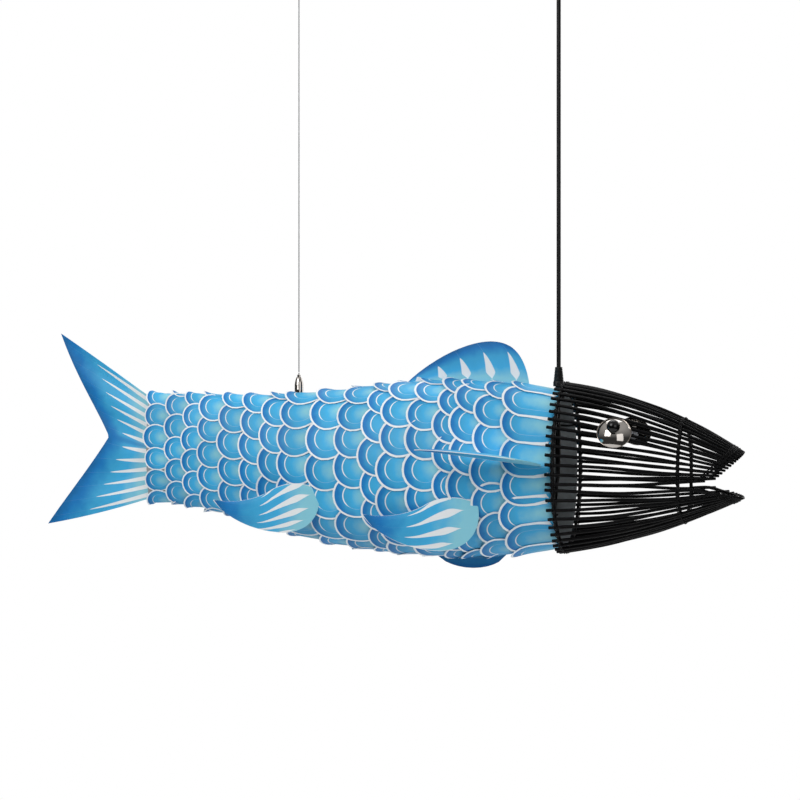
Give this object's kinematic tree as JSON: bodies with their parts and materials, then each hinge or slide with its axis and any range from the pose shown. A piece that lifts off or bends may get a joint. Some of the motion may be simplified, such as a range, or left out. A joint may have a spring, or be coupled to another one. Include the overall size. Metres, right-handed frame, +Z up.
{
  "type": "pendant lamp",
  "caption": "Fish-shaped pendant lamp with a slatted rattan head and a shade of overlapping printed card scales, hung from a power cord and a steel cable.",
  "frame": {"origin": "middle of the canopy's ceiling face, straight above the power cord", "axes": "+X towards the fish's head, +Y to the fish's left, +Z up, out of the canopy into the ceiling"},
  "size_m": [1.1033, 0.3526, 0.9147],
  "materials": {
    "bracket_steel": "zinc plated, satin",
    "canopy_paint": "black powder coat",
    "terminal_plastic": "off-white moulded",
    "lead_cores": "insulated cores",
    "swivel_metal": "turned, satin",
    "cord_sheath": "smooth round sheath",
    "steel_rope": "bare stranded steel",
    "gland_plastic": "black nylon, threaded",
    "gripper_chrome": "polished",
    "eye_chrome": "polished dome",
    "black_wire": "black enamel",
    "rattan": "black lacquered rattan",
    "lashing": "black waxed cord",
    "pupil_black": "polished ball",
    "lining_card": "off-white card",
    "scale_card": "printed blue with white edges, satin",
    "fin_card": "printed blue with white rays, satin",
    "holder_plastic": "white moulded",
    "bulb_glass": "frosted"
  },
  "bodies": {
    "ceiling": {"ceiling_bracket": "bracket_steel", "canopy": "canopy_paint", "canopy_screws": "canopy_paint", "terminal_block": "terminal_plastic", "supply_leads": "lead_cores", "swivel_housing": "canopy_paint", "anchor_base": "bracket_steel", "anchor_cap": "swivel_metal"},
    "front_swivel": {"front_swivel_ring": "swivel_metal"},
    "front_line": {"cord_grip": "gland_plastic", "power_cord": "cord_sheath"},
    "rear_swivel": {"rear_swivel_ring": "swivel_metal"},
    "rear_line": {"cable_stop": "swivel_metal", "steel_cable": "steel_rope"},
    "fish": {"cord_gland": "gland_plastic", "gland_nut": "gland_plastic", "gland_bracket": "black_wire", "cable_gripper": "gripper_chrome", "gripper_pin": "gripper_chrome", "cable_tail": "steel_rope", "head_hoop": "black_wire", "mid_hoop": "black_wire", "upper_jaw_wire": "black_wire", "lower_jaw_wire": "black_wire", "upper_slats": "rattan", "lower_slats": "rattan", "lashing_cord": "lashing", "left_eye_dome": "eye_chrome", "right_eye_dome": "eye_chrome", "left_pupil": "pupil_black", "right_pupil": "pupil_black", "eye_studs": "bracket_steel", "body_hoops": "black_wire", "stringers": "black_wire", "front_lining": "lining_card", "rear_lining": "lining_card", "dorsal_fin": "fin_card", "ventral_fin": "fin_card", "tail_fin": "fin_card", "left_pectoral_fin": "fin_card", "right_pectoral_fin": "fin_card", "left_front_pelvic_fin": "fin_card", "right_front_pelvic_fin": "fin_card", "left_rear_pelvic_fin": "fin_card", "right_rear_pelvic_fin": "fin_card", "front_cross_bar": "bracket_steel", "rear_cross_bar": "bracket_steel", "front_lampholder": "holder_plastic", "rear_lampholder": "holder_plastic", "internal_lead": "cord_sheath", "scale_band_1": "scale_card", "scale_band_2": "scale_card", "scale_band_3": "scale_card", "scale_band_4": "scale_card", "scale_band_5": "scale_card", "scale_band_6": "scale_card"},
    "plunger": {"gripper_plunger": "gripper_chrome"},
    "front_bulb": {"front_bulb": "bulb_glass"},
    "rear_bulb": {"rear_bulb": "bulb_glass"}
  },
  "joints": [
    {"name": "side_swing", "type": "hinge", "parent": "ceiling", "child": "front_swivel", "pos_m": [0, 0, -0.031], "axis": [1, 0, 0], "range_deg": [-20, 20]},
    {"name": "fore_aft_swing", "type": "hinge", "parent": "front_swivel", "child": "front_line", "pos_m": [0, 0, -0.031], "axis": [0, 1, 0], "range_deg": [-12, 12]},
    {"name": "fish_level", "type": "hinge", "parent": "front_line", "child": "fish", "pos_m": [0, 0, -0.623], "axis": [0, 1, 0], "range_deg": [-12.5, 12.5]},
    {"name": "rear_side_swing", "type": "hinge", "parent": "ceiling", "child": "rear_swivel", "pos_m": [-0.406, 0, -0.031], "axis": [1, 0, 0], "range_deg": [-20.5, 20.5]},
    {"name": "rear_fore_aft_swing", "type": "hinge", "parent": "rear_swivel", "child": "rear_line", "pos_m": [-0.406, 0, -0.031], "axis": [0, 1, 0], "range_deg": [-12.5, 12.5]},
    {"name": "plunger_slide", "type": "slide", "parent": "fish", "child": "plunger", "axis": [0, 0, 1], "range_m": [-0.0025, 0], "stiffness_N_per_m": 400, "springref_m": 0.002},
    {"name": "front_bulb_turn", "type": "hinge", "parent": "fish", "child": "front_bulb", "pos_m": [-0.214, 0, -0.766], "axis": [1, 0, 0], "continuous": true},
    {"name": "rear_bulb_turn", "type": "hinge", "parent": "fish", "child": "rear_bulb", "pos_m": [-0.406, 0, -0.7621], "axis": [1, 0, 0], "continuous": true}
  ],
  "couplings": [
    {"joint": "fish_level", "follows": "fore_aft_swing", "ratio": -1},
    {"joint": "rear_side_swing", "follows": "side_swing", "ratio": 1},
    {"joint": "rear_fore_aft_swing", "follows": "fore_aft_swing", "ratio": 1}
  ]
}
